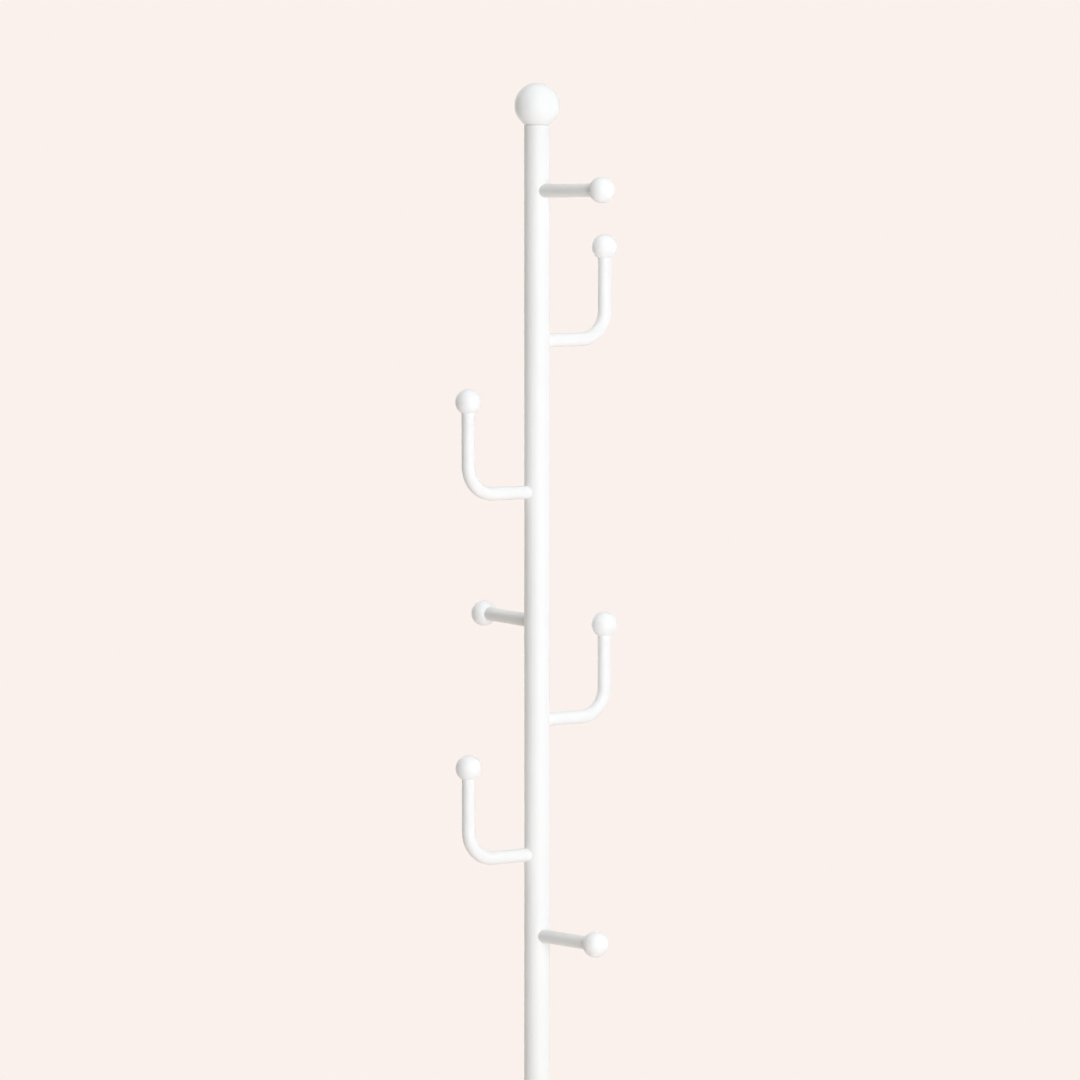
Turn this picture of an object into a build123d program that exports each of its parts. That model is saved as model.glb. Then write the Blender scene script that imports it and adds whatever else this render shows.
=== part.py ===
from build123d import *

import os
from dataclasses import dataclass
from math import cos, radians, sin, sqrt, tan

# Standing coat rack: a round base plate, a pole in two lengths, a ball finial and seven ball-ended arms.
# Millimetres, +Z up. The origin is on the floor, under the middle of the base.
# The J-shaped hooks point along +X and -X, the straight pegs close to +Y and -Y.

# Overall height, from the floor to the top of the finial
overall_height = 1700.0

# Base plate and its floor pads
base_diameter = 360.0
base_thickness = 8.0
base_top_rounding = 3.0
base_bottom_rounding = 1.0
pad_diameter = 24.0
pad_thickness = 3.0
pad_rounding = 0.6
pad_count = 6
pad_inset = 14.0  # from the rim of the base to the rim of a pad

# Screw that holds the pole down on the plate, countersunk from below
base_screw_diameter = 8.0
base_screw_length = 30.0
base_screw_head_diameter = 16.0
base_screw_head_angle = 90.0
base_screw_socket_width = 5.0  # across the flats of the hexagon
base_screw_socket_depth = 2.6
base_screw_sink = 0.3  # depth of the head below the underside of the plate

# Pole, in two lengths of one tube: the lower one makes up the rest of the height
pole_diameter = 25.0
pole_wall = 1.5
upper_tube_length = 1000.0
tube_end_rounding = 0.4

# Plugs and inserts pressed into the tube, and the studs in them
foot_plug_length = 30.0
insert_length = 28.0
pole_stud_diameter = 10.0
pole_stud_length = 48.0
top_plug_length = 24.0
finial_stud_diameter = 8.0
finial_stud_depth = 20.0  # in the plug
finial_stud_reach = 22.0  # in the ball, from its lowest point
plug_chamfer = 0.8

# Finial, a ball that rests on the inner edge of the tube's upper end
finial_diameter = 43.5

# Arms: round bar with a ball on its outer end and a threaded spigot on its inner one
arm_diameter = 13.0
arm_end_chamfer = 0.6
arm_seat_offset = 4.0  # from the pole's axis to the shoulder behind the spigot
spigot_diameter = 8.0
spigot_length = 10.0
ball_diameter = 25.0
ball_bore_past_centre = 3.0  # how far the bar runs past the middle of its ball
nut_height = 24.0

# Straight pegs, which rise a little towards their balls
peg_reach = 96.0  # from the pole's axis to the middle of the ball
peg_lift = 1.1  # degrees

# J-shaped hooks
hook_reach = 80.4  # from the pole's axis to the upright's axis
hook_rise = 88.5  # from the bar's axis to the middle of the ball
hook_bend_radius = 27.7  # at the bar's axis

# Drops from the top down: the first from the tube's upper end, each other one from the arm above
peg_1_drop = 63.0
hook_1_drop = 142.9
hook_2_drop = 145.4
peg_2_drop = 125.4
hook_3_drop = 94.9
hook_4_drop = 129.9
peg_3_drop = 78.7

# Directions around the pole, in degrees from +X towards +Y
peg_1_angle = -86.0
hook_1_angle = 0.0
hook_2_angle = 180.0
peg_2_angle = 87.0
hook_3_angle = 0.0
hook_4_angle = 180.0
peg_3_angle = -90.0

# Clearances, on the radius or at the end of a piece
press_clearance = 0.05
thread_clearance = 0.05
arm_clearance = 0.05
seat_clearance = 0.05

# Radii that follow from the sizes above
pole_radius = pole_diameter / 2
bore_radius = pole_radius - pole_wall
plug_radius = bore_radius - press_clearance
arm_radius = arm_diameter / 2
arm_hole_radius = arm_radius + arm_clearance
finial_radius = finial_diameter / 2
finial_hole_radius = finial_stud_diameter / 2 + thread_clearance
insert_hole_radius = pole_stud_diameter / 2 + thread_clearance
screw_radius = base_screw_diameter / 2
screw_hole_radius = screw_radius + thread_clearance
screw_head_radius = base_screw_head_diameter / 2
screw_head_height = (screw_head_radius - screw_radius) / tan(radians(base_screw_head_angle / 2))

# Heights that follow from the sizes above
plate_underside = pad_thickness
plate_top = plate_underside + base_thickness
screw_underside = plate_underside + base_screw_sink
finial_centre = overall_height - finial_radius
finial_bottom = finial_centre - finial_radius
pole_top = finial_centre - sqrt(finial_radius**2 - bore_radius**2) - seat_clearance
pole_joint = pole_top - upper_tube_length
top_plug_top = finial_bottom - seat_clearance
peg_1_height = pole_top - peg_1_drop
hook_1_height = peg_1_height - hook_1_drop
hook_2_height = hook_1_height - hook_2_drop
peg_2_height = hook_2_height - peg_2_drop
hook_3_height = peg_2_height - hook_3_drop
hook_4_height = hook_3_height - hook_4_drop
peg_3_height = hook_4_height - peg_3_drop


@dataclass
class Arm:
    """One arm on the pole: where its bar meets the pole's axis, where it points and whether it is a J."""

    name: str
    height: float
    angle: float
    bent: bool

    def side(self):
        """The arm's upright plane: local X runs out along the bar from the pole's axis, local Y runs up."""
        turn = radians(self.angle)
        lift = 0 if self.bent else radians(peg_lift)
        outward = (cos(turn) * cos(lift), sin(turn) * cos(lift), sin(lift))
        across = (sin(turn), -cos(turn), 0)
        return Plane(origin=(0, 0, self.height), x_dir=outward, z_dir=across)

    def square(self, distance):
        """A plane square to the bar, at a distance from the pole's axis, with its normal running outward."""
        side = self.side()
        return Plane(origin=side.from_local_coords((distance, 0)), z_dir=side.x_dir)

    def ball_plane(self):
        """A plane through the middle of the ball, with its normal running on from the bar's end."""
        side = self.side()
        if self.bent:
            return Plane(origin=side.from_local_coords((hook_reach, hook_rise)), z_dir=side.y_dir)
        return self.square(peg_reach)


arms = (
    Arm("peg_1", peg_1_height, peg_1_angle, bent=False),
    Arm("hook_1", hook_1_height, hook_1_angle, bent=True),
    Arm("hook_2", hook_2_height, hook_2_angle, bent=True),
    Arm("peg_2", peg_2_height, peg_2_angle, bent=False),
    Arm("hook_3", hook_3_height, hook_3_angle, bent=True),
    Arm("hook_4", hook_4_height, hook_4_angle, bent=True),
    Arm("peg_3", peg_3_height, peg_3_angle, bent=False),
)

os.makedirs("parts", exist_ok=True)


def save(piece, name):
    """Names a finished piece and writes it."""
    piece.part.label = name
    export_step(piece.part, f"parts/{name}.step")


def make_tube(bottom, length, arms_in_wall=()):
    """A length of the pole's tube, with its outer edges broken and its near wall drilled for each arm."""
    with BuildPart() as tube:
        with BuildSketch(Plane.XY.offset(bottom)):
            Circle(pole_radius)
            Circle(bore_radius, mode=Mode.SUBTRACT)
        extrude(amount=length)
        outer_edges = tube.edges().filter_by(GeomType.CIRCLE).group_by(SortBy.RADIUS)[-1]
        fillet(outer_edges, tube_end_rounding)
        for arm in arms_in_wall:
            with BuildSketch(arm.square(0)):
                Circle(arm_hole_radius)
            extrude(amount=pole_diameter, mode=Mode.SUBTRACT)
    return tube


def make_plug(bottom, length, hole_radius):
    """A round plug that fits the tube's bore, drilled through on the pole's axis."""
    with BuildPart() as plug:
        with BuildSketch(Plane.XY.offset(bottom)):
            Circle(plug_radius)
            Circle(hole_radius, mode=Mode.SUBTRACT)
        extrude(amount=length)
        outer_edges = plug.edges().filter_by(GeomType.CIRCLE).group_by(SortBy.RADIUS)[-1]
        chamfer(outer_edges, plug_chamfer)
    return plug


def make_stud(bottom, length, diameter):
    """A stud on the pole's axis."""
    with BuildPart() as stud:
        with BuildSketch(Plane.XY.offset(bottom)):
            Circle(diameter / 2)
        extrude(amount=length)
        chamfer(stud.edges().filter_by(GeomType.CIRCLE), plug_chamfer)
    return stud


def make_arm(arm):
    """The bar of an arm, straight or bent up into a J, with the spigot on its inner end."""
    with BuildPart() as bar:
        with BuildLine(arm.side()) as route:
            if arm.bent:
                run = Line((arm_seat_offset, 0), (hook_reach - hook_bend_radius, 0))
                bend = JernArc(run @ 1, run % 1, hook_bend_radius, 90)
                Line(bend @ 1, (hook_reach, hook_rise + ball_bore_past_centre))
            else:
                Line((arm_seat_offset, 0), (peg_reach + ball_bore_past_centre, 0))
        with BuildSketch(arm.square(arm_seat_offset)):
            Circle(arm_radius)
        sweep()
        outer_end = bar.faces().filter_by(GeomType.PLANE).sort_by_distance(route.line @ 1)[0]
        chamfer(outer_end.edges(), arm_end_chamfer)
        with BuildSketch(arm.square(arm_seat_offset)):
            Circle(spigot_diameter / 2)
        extrude(amount=-spigot_length)
    return bar


def make_ball(arm):
    """The ball on an arm's end, with the blind bore that the bar fits."""
    middle = arm.ball_plane()
    with BuildPart(middle) as ball:
        Sphere(ball_diameter / 2)
        with BuildSketch(middle.offset(ball_bore_past_centre + seat_clearance)):
            Circle(arm_hole_radius)
        extrude(amount=-ball_diameter, mode=Mode.SUBTRACT)
    return ball


def make_nut(arm):
    """The barrel nut inside the tube: a slug with a pocket for the bar and a cross hole for its spigot."""
    seat = arm.square(arm_seat_offset - seat_clearance)
    with BuildPart() as nut:
        with BuildSketch(Plane.XY.offset(arm.height - nut_height / 2)):
            Circle(plug_radius)
        extrude(amount=nut_height)
        chamfer(nut.edges().filter_by(GeomType.CIRCLE), plug_chamfer)
        with BuildSketch(seat):
            Circle(arm_hole_radius)
        extrude(amount=pole_diameter, mode=Mode.SUBTRACT)
        with BuildSketch(seat):
            Circle(spigot_diameter / 2 + thread_clearance)
        extrude(amount=-pole_diameter, mode=Mode.SUBTRACT)
    return nut


# Base plate, drilled and countersunk from below for its screw
with BuildPart() as base_plate:
    with BuildSketch(Plane.XY.offset(plate_underside)):
        Circle(base_diameter / 2)
    extrude(amount=base_thickness)
    fillet(base_plate.edges().group_by(Axis.Z)[-1], base_top_rounding)
    fillet(base_plate.edges().group_by(Axis.Z)[0], base_bottom_rounding)
    with Locations(Plane(origin=(0, 0, screw_underside), z_dir=(0, 0, -1))):
        CounterSinkHole(
            screw_hole_radius,
            screw_head_radius + thread_clearance,
            counter_sink_angle=base_screw_head_angle,
        )
save(base_plate, "base_plate")

# Floor pads, stuck under the plate near its rim
with BuildPart() as floor_pads:
    with BuildSketch(Plane.XY):
        with PolarLocations(base_diameter / 2 - pad_inset - pad_diameter / 2, pad_count):
            Circle(pad_diameter / 2)
    extrude(amount=pad_thickness)
    fillet(floor_pads.edges().group_by(Axis.Z)[0], pad_rounding)
save(floor_pads, "floor_pads")

# Base screw, with a hexagon socket in its countersunk head
with BuildPart() as base_screw:
    with BuildSketch(Plane.XZ):
        with BuildLine():
            Polyline(
                (0, screw_underside),
                (screw_head_radius, screw_underside),
                (screw_radius, screw_underside + screw_head_height),
                (screw_radius, screw_underside + base_screw_length),
                (0, screw_underside + base_screw_length),
                close=True,
            )
        make_face()
    revolve(axis=Axis.Z)
    with BuildSketch(Plane.XY.offset(screw_underside)):
        RegularPolygon(base_screw_socket_width / 2, 6, major_radius=False)
    extrude(amount=base_screw_socket_depth, mode=Mode.SUBTRACT)
save(base_screw, "base_screw")

# Lower length of the pole, with the plug for the base screw and the insert for the joint
lower_tube = make_tube(plate_top, pole_joint - plate_top)
save(lower_tube, "lower_tube")
foot_plug = make_plug(plate_top, foot_plug_length, screw_hole_radius)
save(foot_plug, "foot_plug")
lower_insert = make_plug(pole_joint - insert_length, insert_length, insert_hole_radius)
save(lower_insert, "lower_insert")

# Upper length of the pole, with its insert, the stud that joins the two, and the plug for the finial
upper_tube = make_tube(pole_joint, upper_tube_length, arms)
save(upper_tube, "upper_tube")
upper_insert = make_plug(pole_joint, insert_length, insert_hole_radius)
save(upper_insert, "upper_insert")
pole_stud = make_stud(pole_joint - pole_stud_length / 2, pole_stud_length, pole_stud_diameter)
save(pole_stud, "pole_stud")
top_plug = make_plug(top_plug_top - top_plug_length, top_plug_length, finial_hole_radius)
save(top_plug, "top_plug")

# Finial ball and the stud that it screws onto
finial_stud_bottom = top_plug_top - finial_stud_depth
finial_stud_top = finial_bottom + finial_stud_reach
finial_stud = make_stud(finial_stud_bottom, finial_stud_top - finial_stud_bottom, finial_stud_diameter)
save(finial_stud, "finial_stud")
with BuildPart(Plane.XY.offset(finial_centre)) as finial_ball:
    Sphere(finial_radius)
    with BuildSketch(Plane.XY.offset(finial_stud_top + seat_clearance)):
        Circle(finial_hole_radius)
    extrude(amount=-finial_diameter, mode=Mode.SUBTRACT)
save(finial_ball, "finial_ball")

# Arms, each with its ball and its barrel nut
for arm in arms:
    save(make_arm(arm), f"{arm.name}_arm")
    save(make_ball(arm), f"{arm.name}_ball")
    save(make_nut(arm), f"{arm.name}_nut")
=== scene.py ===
"""White standing coat rack: the finish of every piece and a pale studio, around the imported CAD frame.

Lengths are metres in the CAD frame, with +Z up and the origin on the floor under the middle of the base.
"""

from math import atan2, cos, pi, radians, sin

import bmesh
import bpy
from bpy.props import FloatProperty, FloatVectorProperty, PointerProperty
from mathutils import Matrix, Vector


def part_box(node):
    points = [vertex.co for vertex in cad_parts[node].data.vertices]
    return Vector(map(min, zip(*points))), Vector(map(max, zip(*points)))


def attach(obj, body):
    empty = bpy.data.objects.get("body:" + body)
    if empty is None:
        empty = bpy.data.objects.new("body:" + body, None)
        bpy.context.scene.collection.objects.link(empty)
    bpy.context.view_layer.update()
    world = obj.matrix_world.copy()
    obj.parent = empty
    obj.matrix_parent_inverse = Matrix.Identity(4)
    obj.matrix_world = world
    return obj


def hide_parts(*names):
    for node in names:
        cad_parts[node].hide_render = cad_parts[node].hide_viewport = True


bl_info = {
    "name": "Standing Coat Rack",
    "version": (1, 0, 0),
    "blender": (4, 5, 0),
    "location": "View3D > Sidebar > Coat Rack",
    "description": "Finishes the pieces of a white coat rack with ball-ended arms and sets up its stage",
    "category": "Object",
}

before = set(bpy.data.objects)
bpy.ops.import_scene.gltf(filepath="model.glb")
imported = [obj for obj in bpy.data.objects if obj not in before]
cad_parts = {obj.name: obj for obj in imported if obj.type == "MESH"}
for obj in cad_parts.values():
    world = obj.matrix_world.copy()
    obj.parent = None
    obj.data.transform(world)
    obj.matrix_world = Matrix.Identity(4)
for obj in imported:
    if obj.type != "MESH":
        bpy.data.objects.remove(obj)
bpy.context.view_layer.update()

BODY = "root"
MILLIMETRE = 0.001


def linear(hex_colour):
    """Turns an sRGB hex colour into linear RGBA."""
    channels = [int(hex_colour[i:i + 2], 16) / 255 for i in (1, 3, 5)]
    rgb = [c / 12.92 if c <= 0.04045 else ((c + 0.055) / 1.055) ** 2.4 for c in channels]
    return (*rgb, 1.0)


# Settings

class CoatRackFinish(bpy.types.PropertyGroup):
    """Colours and surface sizes of the rack's materials."""

    powder_white: FloatVectorProperty(
        name="Powder coat", description="Colour of the coat on the steel",
        default=linear("#F4F4F3"), size=4, subtype="COLOR", min=0, max=1)
    powder_thin: FloatVectorProperty(
        name="Thin coat", description="Colour where the coat lies thinner",
        default=linear("#F0F0EE"), size=4, subtype="COLOR", min=0, max=1)
    peel_size: FloatProperty(
        name="Orange peel", description="Spacing of the ripples in the baked coat",
        default=2.5 * MILLIMETRE, unit="LENGTH", min=0.0001)
    peel_depth: FloatProperty(
        name="Orange peel depth", description="Height of the ripples in the baked coat",
        default=0.06 * MILLIMETRE, unit="LENGTH", min=0, precision=6)
    ball_white: FloatVectorProperty(
        name="Balls", description="Colour of the moulded balls",
        default=linear("#F4F4F3"), size=4, subtype="COLOR", min=0, max=1)
    ball_grain: FloatProperty(
        name="Ball grain", description="Spacing of the grain that the mould leaves on the balls",
        default=1.0 * MILLIMETRE, unit="LENGTH", min=0.0001)
    grain_depth: FloatProperty(
        name="Ball grain depth", description="Height of the grain on the balls",
        default=0.03 * MILLIMETRE, unit="LENGTH", min=0, precision=6)
    zinc: FloatVectorProperty(
        name="Zinc plating", description="Colour of the plated fasteners",
        default=linear("#C9CCD0"), size=4, subtype="COLOR", min=0, max=1)
    rubber: FloatVectorProperty(
        name="Floor pads", description="Colour of the rubber pads",
        default=linear("#4A4A4B"), size=4, subtype="COLOR", min=0, max=1)


class CoatRackThreads(bpy.types.PropertyGroup):
    """Standard sizes of the threaded pieces, where the frame doesn't give them."""

    screw_diameter: FloatProperty(
        name="Screw", description="Thread diameter of the base screw",
        default=8 * MILLIMETRE, unit="LENGTH", min=0.001)
    screw_pitch: FloatProperty(
        name="Screw pitch", description="Pitch of the thread on the base screw and on the finial's stud",
        default=1.25 * MILLIMETRE, unit="LENGTH", min=0.0001)
    stud_pitch: FloatProperty(
        name="Stud pitch", description="Pitch of the thread on the stud between the two tubes",
        default=1.5 * MILLIMETRE, unit="LENGTH", min=0.0001)
    socket_width: FloatProperty(
        name="Socket width", description="Width of the hexagon socket across its flats",
        default=5 * MILLIMETRE, unit="LENGTH", min=0.001)
    socket_depth: FloatProperty(
        name="Socket depth", description="Depth of the hexagon socket in the screw's head",
        default=2.6 * MILLIMETRE, unit="LENGTH", min=0.001)


class CoatRackStage(bpy.types.PropertyGroup):
    """Where the camera and the lamps stand, and the colours round the rack."""

    camera_azimuth: FloatProperty(
        name="Camera azimuth", description="Turn of the camera about the pole, from straight in front",
        default=radians(-35.6), subtype="ANGLE")
    camera_distance: FloatProperty(
        name="Camera distance", description="Level distance from the pole to the camera",
        default=5.5, unit="LENGTH")
    camera_height: FloatProperty(
        name="Camera height", description="Height of the camera above the floor",
        default=1.654, unit="LENGTH")
    aim_height: FloatProperty(
        name="Aim height", description="Height of the point in the middle of the picture",
        default=1.2617, unit="LENGTH")
    aim_right: FloatProperty(
        name="Aim to the right", description="How far right of the pole the camera aims",
        default=0.0029, unit="LENGTH")
    lens: FloatProperty(
        name="Lens", description="Focal length of the camera, on a 36 mm sensor",
        default=191.2, unit="CAMERA")
    backdrop: FloatVectorProperty(
        name="Backdrop", description="Colour of the backdrop and the floor",
        default=linear("#FBF1EC"), size=4, subtype="COLOR", min=0, max=1)
    daylight: FloatVectorProperty(
        name="Lamp colour", description="Colour of the light from the lamps",
        default=linear("#F6FAFF")[:3], size=3, subtype="COLOR", min=0, max=1)
    room_white: FloatVectorProperty(
        name="Room colour", description="Colour of the even light from all round",
        default=linear("#FFFAEF"), size=4, subtype="COLOR", min=0, max=1)
    room_light: FloatProperty(
        name="Room light", description="Strength of the even light from all round", default=0.225, min=0)
    floor_glow: FloatProperty(
        name="Floor glow", description="Share of the backdrop's brightness that the floor shows by itself",
        default=0.5, subtype="FACTOR", min=0, max=1)
    main_power: FloatProperty(
        name="Main lamp", description="Power of the tall soft lamp beside the camera",
        default=49.4, unit="POWER", min=0)
    side_power: FloatProperty(
        name="Side lamp", description="Power of the tall soft lamp in front of the rack, on the right",
        default=11.3, unit="POWER", min=0)
    edge_power: FloatProperty(
        name="Edge lamp", description="Power of the tall soft lamp behind the rack, on the right",
        default=18.0, unit="POWER", min=0)
    back_power: FloatProperty(
        name="Back lamp", description="Power of the tall soft lamp behind the rack",
        default=30.0, unit="POWER", min=0)
    top_power: FloatProperty(
        name="Top lamp", description="Power of the soft lamp overhead",
        default=106.0, unit="POWER", min=0)


# Nodes and materials

FILM_PATCH = 90 * MILLIMETRE
FLOW_PATCH = 12 * MILLIMETRE
ZINC_BLOOM = 4 * MILLIMETRE
RUBBER_GRIT = 0.8 * MILLIMETRE
RUBBER_GRIT_DEPTH = 0.03 * MILLIMETRE
# Noise hardly leaves this span, which is stretched to run from 0 to 1 where a pattern's whole height counts
NOISE_SPAN = {"From Min": 0.3, "From Max": 0.7}


def add_node(tree, kind, sockets=None, **settings):
    """Adds a node with its settings, and fills each socket, by name or number, with a value or a link."""
    node = tree.nodes.new(kind)
    for setting, value in settings.items():
        setattr(node, setting, value)
    for key, value in (sockets or {}).items():
        if isinstance(key, int):
            socket = node.inputs[key]
        else:
            socket = next(s for s in node.inputs if s.name == key and s.enabled)
        if isinstance(value, bpy.types.NodeSocket):
            tree.links.new(value, socket)
        else:
            socket.default_value = value
    return node


def new_material(name):
    """Makes an empty node material and returns it with its node tree."""
    material = bpy.data.materials.new(name)
    material.use_nodes = True
    material.node_tree.nodes.clear()
    return material, material.node_tree


def powder_coated_steel(finish):
    """White polyester powder, sprayed on steel and baked."""
    # The powder melts into a low-sheen film with a faint orange peel, which breaks up its broad soft gloss.
    # The real ripples are about 0.02 mm high and are drawn three times as high, so that they show at all.
    material, tree = new_material("white_powder_coated_steel")
    place = add_node(tree, "ShaderNodeTexCoord").outputs["Object"]
    peel = add_node(tree, "ShaderNodeTexNoise", {
        "Vector": place, "Scale": 1 / finish.peel_size, "Detail": 2.0, "Roughness": 0.45})
    film = add_node(tree, "ShaderNodeTexNoise", {
        "Vector": place, "Scale": 1 / FILM_PATCH, "Detail": 3.0})
    colour = add_node(tree, "ShaderNodeMix", {
        "Factor": film.outputs["Fac"], "A": finish.powder_white, "B": finish.powder_thin}, data_type="RGBA")
    wave = add_node(tree, "ShaderNodeMapRange", {"Value": peel.outputs["Fac"], **NOISE_SPAN})
    gloss = add_node(tree, "ShaderNodeMapRange", {
        "Value": wave.outputs["Result"], "To Min": 0.5, "To Max": 0.6})
    ripple = add_node(tree, "ShaderNodeBump", {
        "Height": wave.outputs["Result"], "Strength": 1.0, "Distance": finish.peel_depth})
    shader = add_node(tree, "ShaderNodeBsdfPrincipled", {
        "Base Color": colour.outputs["Result"], "Roughness": gloss.outputs["Result"],
        "Normal": ripple.outputs["Normal"], "IOR": 1.5})
    add_node(tree, "ShaderNodeOutputMaterial", {"Surface": shader.outputs["BSDF"]})
    return material


def moulded_ball_plastic(finish):
    """White ABS, moulded in a tool with a fine eroded grain."""
    # The grain scatters the gloss, so the balls shade softly and show no sharp highlight.
    # The real grain is about 0.1 mm wide and is drawn ten times as wide, so that it shows from close by.
    material, tree = new_material("white_moulded_abs")
    place = add_node(tree, "ShaderNodeTexCoord").outputs["Object"]
    grain = add_node(tree, "ShaderNodeTexNoise", {
        "Vector": place, "Scale": 1 / finish.ball_grain, "Detail": 1.0})
    flow = add_node(tree, "ShaderNodeTexNoise", {
        "Vector": place, "Scale": 1 / FLOW_PATCH, "Detail": 2.0})
    gloss = add_node(tree, "ShaderNodeMapRange", {
        "Value": flow.outputs["Fac"], "To Min": 0.52, "To Max": 0.6})
    pits = add_node(tree, "ShaderNodeMapRange", {"Value": grain.outputs["Fac"], **NOISE_SPAN})
    tooth = add_node(tree, "ShaderNodeBump", {
        "Height": pits.outputs["Result"], "Strength": 1.0, "Distance": finish.grain_depth})
    shader = add_node(tree, "ShaderNodeBsdfPrincipled", {
        "Base Color": finish.ball_white, "Roughness": gloss.outputs["Result"],
        "Normal": tooth.outputs["Normal"], "IOR": 1.54})
    add_node(tree, "ShaderNodeOutputMaterial", {"Surface": shader.outputs["BSDF"]})
    return material


def zinc_plated_steel(finish):
    """Turned steel, electroplated with bright zinc."""
    # The plating is a cool grey mirror, dulled unevenly by the clear passivation over it.
    material, tree = new_material("zinc_plated_steel")
    place = add_node(tree, "ShaderNodeTexCoord").outputs["Object"]
    bloom = add_node(tree, "ShaderNodeTexNoise", {
        "Vector": place, "Scale": 1 / ZINC_BLOOM, "Detail": 4.0})
    gloss = add_node(tree, "ShaderNodeMapRange", {
        "Value": bloom.outputs["Fac"], "To Min": 0.22, "To Max": 0.4})
    shader = add_node(tree, "ShaderNodeBsdfPrincipled", {
        "Base Color": finish.zinc, "Metallic": 1.0, "Roughness": gloss.outputs["Result"]})
    add_node(tree, "ShaderNodeOutputMaterial", {"Surface": shader.outputs["BSDF"]})
    return material


def moulded_rubber(finish):
    """Grey rubber, moulded and left matt."""
    # The rubber scatters nearly all its light, and a fine grit from the mould breaks up the rest.
    # The grit is drawn several times as coarse as it is, so that it shows on pads of this size.
    material, tree = new_material("grey_moulded_rubber")
    place = add_node(tree, "ShaderNodeTexCoord").outputs["Object"]
    grit = add_node(tree, "ShaderNodeTexNoise", {
        "Vector": place, "Scale": 1 / RUBBER_GRIT, "Detail": 3.0})
    gloss = add_node(tree, "ShaderNodeMapRange", {
        "Value": grit.outputs["Fac"], "To Min": 0.7, "To Max": 0.9})
    tooth = add_node(tree, "ShaderNodeBump", {
        "Height": grit.outputs["Fac"], "Strength": 1.0, "Distance": RUBBER_GRIT_DEPTH})
    shader = add_node(tree, "ShaderNodeBsdfPrincipled", {
        "Base Color": finish.rubber, "Roughness": gloss.outputs["Result"],
        "Normal": tooth.outputs["Normal"], "IOR": 1.52})
    add_node(tree, "ShaderNodeOutputMaterial", {"Surface": shader.outputs["BSDF"]})
    return material


def dress(names, material):
    """Gives the CAD nodes of those names one finish."""
    for name in names:
        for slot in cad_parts[name].material_slots:
            slot.material = material


def named(*endings):
    """Names of the CAD nodes that end in one of those words."""
    found = sorted(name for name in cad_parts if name.endswith(endings))
    if not found:
        raise ValueError(f"the frame has no node that ends in {endings}")
    return found


# Threads

ROUND_STEPS = 36
SPARE_TURNS = 2
# Outside metric thread: its depth as a share of the pitch, and the corners of its profile,
# each a place along the pitch with a depth from 0 at the crest to 1 at the root
THREAD_DEPTH = 0.6134
THREAD_CORNERS = ((-1 / 16, 0), (1 / 16, 0), (3 / 8, 1), (5 / 8, 1))
RIM_BEVEL = 0.2 * MILLIMETRE
SHARP_ANGLE = radians(35)
CUT_TOLERANCE = 1e-7


def helix_skin(solid, bottom, top, radius, pitch, plain_bottom):
    """Skins a right-hand metric thread along its helix, some turns longer than it needs at both ends.

    The thread tapers at its free ends, and runs out towards a plain bottom.
    """
    depth = THREAD_DEPTH * pitch
    turns = round((top - bottom) / pitch)
    rows = []
    for turn in range(-SPARE_TURNS, turns + SPARE_TURNS + 1):
        for place, sunk in THREAD_CORNERS:
            row = []
            for step in range(ROUND_STEPS):
                angle = 2 * pi * step / ROUND_STEPS
                height = bottom + pitch * (turn + place + step / ROUND_STEPS)
                runout = min(1, max(0, (height - bottom) / pitch)) if plain_bottom else 1
                to_end = top - height if plain_bottom else min(top - height, height - bottom)
                reach = min(radius - depth * sunk * runout, radius - depth + to_end)
                row.append(solid.verts.new((cos(angle) * reach, sin(angle) * reach, height)))
            rows.append(row)
    corners = len(THREAD_CORNERS)
    for index in range(len(rows) - corners - 1):
        lower = [*rows[index], rows[index + corners][0]]
        upper = [*rows[index + 1], rows[index + 1 + corners][0]]
        for step in range(ROUND_STEPS):
            solid.faces.new((lower[step], lower[step + 1], upper[step + 1], upper[step]))


def cut_level(solid, height, side):
    """Cuts an open skin off level above or below a height, and returns the edges of its rim."""
    cut = bmesh.ops.bisect_plane(
        solid, geom=[*solid.verts, *solid.edges, *solid.faces], dist=CUT_TOLERANCE,
        plane_co=(0, 0, height), plane_no=(0, 0, side), clear_outer=True)
    return [part for part in cut["geom_cut"] if isinstance(part, bmesh.types.BMEdge)]


def carry_rim(solid, rim, height, radius):
    """Carries an open rim on to a height and to a radius for each angle, and returns the new rim."""
    made = bmesh.ops.extrude_edge_only(solid, edges=rim)["geom"]
    verts = {part for part in made if isinstance(part, bmesh.types.BMVert)}
    for vert in verts:
        angle = atan2(vert.co.y, vert.co.x)
        vert.co = (cos(angle) * radius(angle), sin(angle) * radius(angle), height)
    edges = [part for part in made if isinstance(part, bmesh.types.BMEdge)]
    return [edge for edge in edges if verts.issuperset(edge.verts)]


def stand_for(node, solid, material):
    """Turns a threaded solid into a plated piece that stands in place of the plain CAD node."""
    bmesh.ops.recalc_face_normals(solid, faces=solid.faces)
    mesh = bpy.data.meshes.new(f"{node}_threaded")
    solid.to_mesh(mesh)
    solid.free()
    mesh.shade_smooth()
    mesh.set_sharp_from_angle(angle=SHARP_ANGLE)
    mesh.materials.append(material)
    piece = bpy.data.objects.new(mesh.name, mesh)
    bpy.context.scene.collection.objects.link(piece)
    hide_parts(node)
    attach(piece, BODY)


def threaded_stud(node, pitch, material):
    """Studding as long and as thick as its CAD node."""
    low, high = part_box(node)
    solid = bmesh.new()
    helix_skin(solid, low[2], high[2], (high[0] - low[0]) / 2, pitch, plain_bottom=False)
    for height, side in ((high[2], 1), (low[2], -1)):
        bmesh.ops.edgeloop_fill(solid, edges=cut_level(solid, height, side))
    stand_for(node, solid, material)


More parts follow.
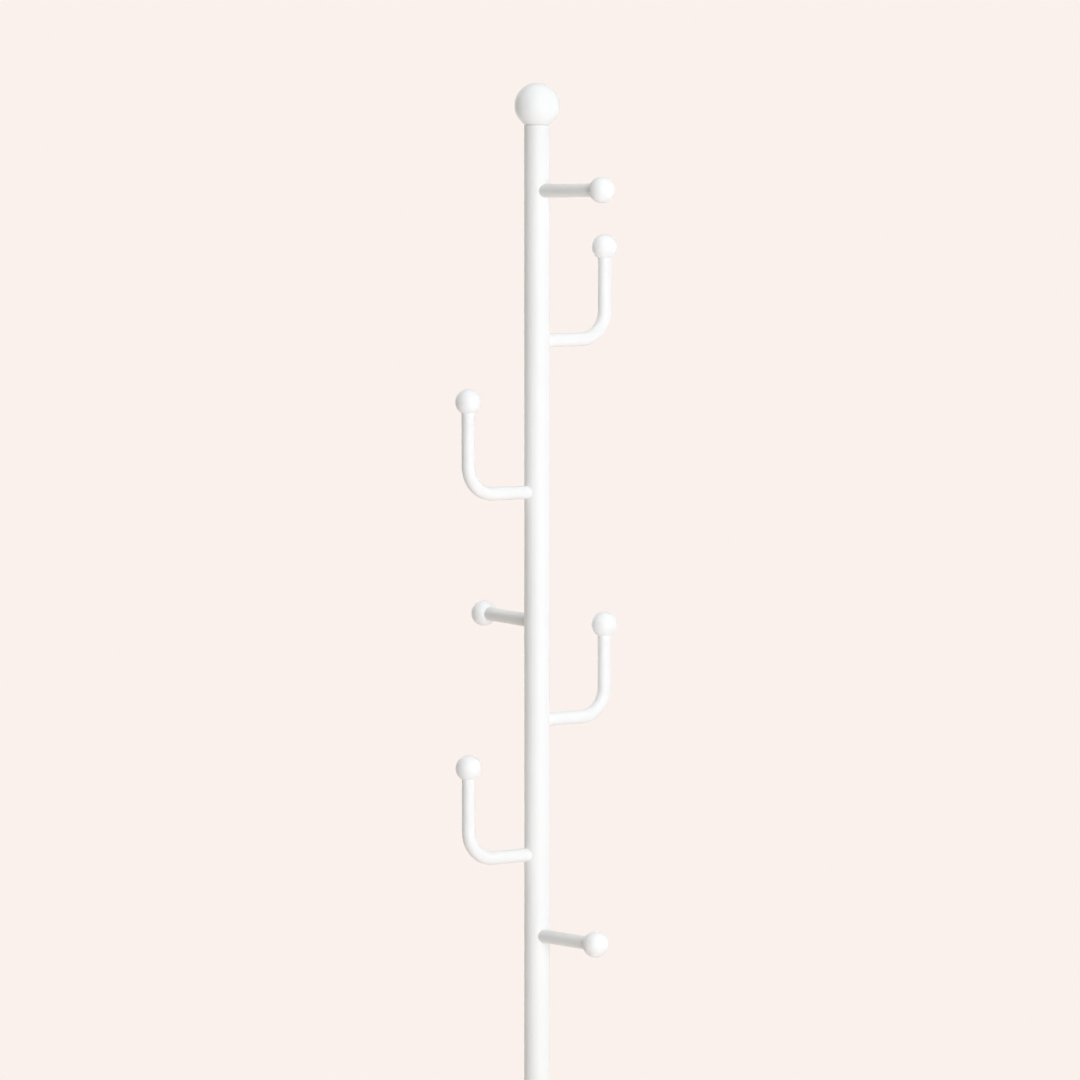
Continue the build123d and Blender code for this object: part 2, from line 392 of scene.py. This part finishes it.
def threaded_screw(node, threads, material):
    """Countersunk screw as long as its CAD node, with a hexagon socket in its head."""
    low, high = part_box(node)
    face = low[2]
    head = (high[0] - low[0]) / 2
    shank = threads.screw_diameter / 2
    # The 90 degrees of the countersink make the head as high as it stands out from the shank.
    neck = face + head - shank
    bevelled = head - RIM_BEVEL

    def socket(angle):
        """Distance from the axis to the socket's wall."""
        return threads.socket_width / 2 / cos(angle % (pi / 3) - pi / 6)

    solid = bmesh.new()
    helix_skin(solid, neck, high[2], shank, threads.screw_pitch, plain_bottom=True)
    bmesh.ops.edgeloop_fill(solid, edges=cut_level(solid, high[2], 1))
    rim = cut_level(solid, neck, -1)
    rim = carry_rim(solid, rim, face + RIM_BEVEL, lambda angle: bevelled)
    rim = carry_rim(solid, rim, face, lambda angle: bevelled - RIM_BEVEL / 2)
    rim = carry_rim(solid, rim, face, lambda angle: socket(angle) + RIM_BEVEL)
    rim = carry_rim(solid, rim, face + RIM_BEVEL, socket)
    rim = carry_rim(solid, rim, face + threads.socket_depth, socket)
    bmesh.ops.edgeloop_fill(solid, edges=rim)
    stand_for(node, solid, material)


# Pieces

class COATRACK_OT_steel(bpy.types.Operator):
    """Powder-coat the base plate, the pole and the arms"""
    bl_idname = "coat_rack.steel"
    bl_label = "Base, Pole and Arms"

    def execute(self, context):
        dress(named("base_plate", "_tube", "_arm"), powder_coated_steel(context.scene.coat_rack_finish))
        return {"FINISHED"}


class COATRACK_OT_balls(bpy.types.Operator):
    """Finish the finial and the balls on the arms"""
    bl_idname = "coat_rack.balls"
    bl_label = "Balls"

    def execute(self, context):
        dress(named("_ball"), moulded_ball_plastic(context.scene.coat_rack_finish))
        return {"FINISHED"}


class COATRACK_OT_fasteners(bpy.types.Operator):
    """Thread and plate the screw and the studs, and plate the nuts and the plugs inside the pole"""
    bl_idname = "coat_rack.fasteners"
    bl_label = "Fasteners"

    def execute(self, context):
        steel = zinc_plated_steel(context.scene.coat_rack_finish)
        threads = context.scene.coat_rack_threads
        dress(named("_screw", "_stud", "_nut", "_plug", "_insert"), steel)
        threaded_screw("base_screw", threads, steel)
        threaded_stud("pole_stud", threads.stud_pitch, steel)
        threaded_stud("finial_stud", threads.screw_pitch, steel)
        return {"FINISHED"}


class COATRACK_OT_pads(bpy.types.Operator):
    """Finish the rubber pads under the base plate"""
    bl_idname = "coat_rack.pads"
    bl_label = "Floor Pads"

    def execute(self, context):
        dress(named("floor_pads"), moulded_rubber(context.scene.coat_rack_finish))
        return {"FINISHED"}


# Stage

# A hair under the pads, so that their faces and the floor don't lie in one plane
FLOOR_LEVEL = -0.2 * MILLIMETRE
FLOOR_RADIUS = 2.2
FLOOR_FADE = 0.5
FLOOR_SIDES = 96
LAMP_DISTANCE = 2.6
LAMP_HEIGHT = 1.6
LAMP_WIDTH = 1.2
LAMP_TALL = 2.4
# Turns of the lamps about the pole, from the camera
LAMP_TURNS = {"main": radians(15), "side": radians(60), "edge": radians(120), "back": radians(207)}
TOP_HEIGHT = 6.0
TOP_WIDTH = 3.7


def around(azimuth, distance, height):
    """Point at that height, seen from the pole in the direction of that azimuth."""
    return Vector((sin(azimuth) * distance, -cos(azimuth) * distance, height))


def place_lamp(name, location, aim, power, colour, width, height):
    """Adds a soft rectangular lamp that faces a point."""
    data = bpy.data.lights.new(name, "AREA")
    data.shape = "RECTANGLE"
    data.size = width
    data.size_y = height
    data.energy = power
    data.color = colour
    lamp = bpy.data.objects.new(name, data)
    lamp.location = location
    lamp.rotation_euler = (aim - location).to_track_quat("-Z", "Y").to_euler()
    lamp.visible_camera = False
    bpy.context.scene.collection.objects.link(lamp)


def seen_rays(tree):
    """Socket that is 1 for what the eye sees straight, in gloss or through glass, and 0 for other rays."""
    ray = add_node(tree, "ShaderNodeLightPath").outputs
    shown = add_node(tree, "ShaderNodeMath", {
        0: ray["Is Camera Ray"], 1: ray["Is Glossy Ray"]}, operation="MAXIMUM")
    seen = add_node(tree, "ShaderNodeMath", {
        0: shown.outputs["Value"], 1: ray["Is Transmission Ray"]}, operation="MAXIMUM")
    return seen.outputs["Value"]


def painted_board(stage):
    """Board with matt paint, which looks as bright as the backdrop and fades into it towards its rim."""
    # The paint has no gloss, so the floor shows nothing but soft shadows.
    material, tree = new_material("matt_painted_board")
    seen = seen_rays(tree)
    place = add_node(tree, "ShaderNodeTexCoord").outputs["Object"]
    radius = add_node(tree, "ShaderNodeVectorMath", {"Vector": place}, operation="LENGTH")
    rim = add_node(tree, "ShaderNodeMapRange", {
        "Value": radius.outputs["Value"], "From Min": FLOOR_FADE, "From Max": FLOOR_RADIUS},
        interpolation_type="SMOOTHSTEP")
    fade = add_node(tree, "ShaderNodeMath", {0: seen, 1: rim.outputs["Result"]}, operation="MULTIPLY")
    share = add_node(tree, "ShaderNodeMath", {0: seen, 1: stage.floor_glow}, operation="MULTIPLY")
    paint = add_node(tree, "ShaderNodeBsdfDiffuse", {"Color": stage.backdrop})
    glow = add_node(tree, "ShaderNodeEmission", {"Color": stage.backdrop, "Strength": 1.0})
    board = add_node(tree, "ShaderNodeMixShader", {
        "Fac": share.outputs["Value"], 1: paint.outputs["BSDF"], 2: glow.outputs["Emission"]})
    nothing = add_node(tree, "ShaderNodeBsdfTransparent")
    shader = add_node(tree, "ShaderNodeMixShader", {
        "Fac": fade.outputs["Value"], 1: board.outputs["Shader"], 2: nothing.outputs["BSDF"]})
    add_node(tree, "ShaderNodeOutputMaterial", {"Surface": shader.outputs["Shader"]})
    return material


def lay_floor(stage):
    """Adds the round floor under the rack."""
    mesh = bpy.data.meshes.new("studio_floor")
    disc = bmesh.new()
    bmesh.ops.create_circle(disc, cap_ends=True, segments=FLOOR_SIDES, radius=FLOOR_RADIUS)
    disc.to_mesh(mesh)
    disc.free()
    mesh.materials.append(painted_board(stage))
    floor = bpy.data.objects.new("studio_floor", mesh)
    floor.location.z = FLOOR_LEVEL
    bpy.context.scene.collection.objects.link(floor)


def light_world(stage):
    """Lights the room evenly, and shows the backdrop's colour to the eye, in gloss and through glass."""
    world = bpy.data.worlds.new("studio")
    world.use_nodes = True
    tree = world.node_tree
    tree.nodes.clear()
    seen = seen_rays(tree)
    colour = add_node(tree, "ShaderNodeMix", {
        "Factor": seen, "A": stage.room_white, "B": stage.backdrop}, data_type="RGBA")
    strength = add_node(tree, "ShaderNodeMapRange", {
        "Value": seen, "To Min": stage.room_light, "To Max": 1.0})
    room = add_node(tree, "ShaderNodeBackground", {
        "Color": colour.outputs["Result"], "Strength": strength.outputs["Result"]})
    add_node(tree, "ShaderNodeOutputWorld", {"Surface": room.outputs["Background"]})
    bpy.context.scene.world = world


def place_camera(stage):
    """Adds the camera at the photograph's viewing angle."""
    data = bpy.data.cameras.new("camera")
    data.lens = stage.lens
    camera = bpy.data.objects.new("camera", data)
    camera.location = around(stage.camera_azimuth, stage.camera_distance, stage.camera_height)
    aim = around(stage.camera_azimuth + radians(90), stage.aim_right, stage.aim_height)
    camera.rotation_euler = (aim - camera.location).to_track_quat("-Z", "Y").to_euler()
    bpy.context.scene.collection.objects.link(camera)
    bpy.context.scene.camera = camera


class COATRACK_OT_stage(bpy.types.Operator):
    """Set up the floor, the light and the camera"""
    bl_idname = "coat_rack.stage"
    bl_label = "Stage"

    def execute(self, context):
        stage = context.scene.coat_rack_stage
        context.scene.view_settings.view_transform = "Standard"
        lay_floor(stage)
        light_world(stage)
        middle = Vector((0, 0, LAMP_HEIGHT))
        for name, turn in LAMP_TURNS.items():
            spot = around(stage.camera_azimuth + turn, LAMP_DISTANCE, LAMP_HEIGHT)
            power = getattr(stage, f"{name}_power")
            place_lamp(f"{name}_lamp", spot, middle, power, stage.daylight, LAMP_WIDTH, LAMP_TALL)
        overhead = Vector((0, 0, TOP_HEIGHT))
        place_lamp("top_lamp", overhead, middle, stage.top_power, stage.daylight, TOP_WIDTH, TOP_WIDTH)
        place_camera(stage)
        return {"FINISHED"}


# Panel and registration

class COATRACK_PT_sidebar(bpy.types.Panel):
    """Lists the rack's settings and the buttons that build it"""
    bl_idname = "COATRACK_PT_sidebar"
    bl_label = "Coat Rack"
    bl_space_type = "VIEW_3D"
    bl_region_type = "UI"
    bl_category = "Coat Rack"

    def draw(self, context):
        scene = context.scene
        for settings in (scene.coat_rack_finish, scene.coat_rack_threads, scene.coat_rack_stage):
            for name in settings.__annotations__:
                self.layout.prop(settings, name)
        for operator in OPERATORS:
            self.layout.operator(operator.bl_idname)


OPERATORS = (
    COATRACK_OT_steel,
    COATRACK_OT_balls,
    COATRACK_OT_fasteners,
    COATRACK_OT_pads,
    COATRACK_OT_stage,
)
CLASSES = (CoatRackFinish, CoatRackThreads, CoatRackStage, *OPERATORS, COATRACK_PT_sidebar)


def register():
    for item in CLASSES:
        bpy.utils.register_class(item)
    bpy.types.Scene.coat_rack_finish = PointerProperty(type=CoatRackFinish)
    bpy.types.Scene.coat_rack_threads = PointerProperty(type=CoatRackThreads)
    bpy.types.Scene.coat_rack_stage = PointerProperty(type=CoatRackStage)


def unregister():
    del bpy.types.Scene.coat_rack_stage
    del bpy.types.Scene.coat_rack_threads
    del bpy.types.Scene.coat_rack_finish
    for item in reversed(CLASSES):
        bpy.utils.unregister_class(item)


def main():
    """Registers the add-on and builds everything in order."""
    register()
    bpy.ops.coat_rack.steel()
    bpy.ops.coat_rack.balls()
    bpy.ops.coat_rack.fasteners()
    bpy.ops.coat_rack.pads()
    bpy.ops.coat_rack.stage()


if __name__ == "__main__":
    main()
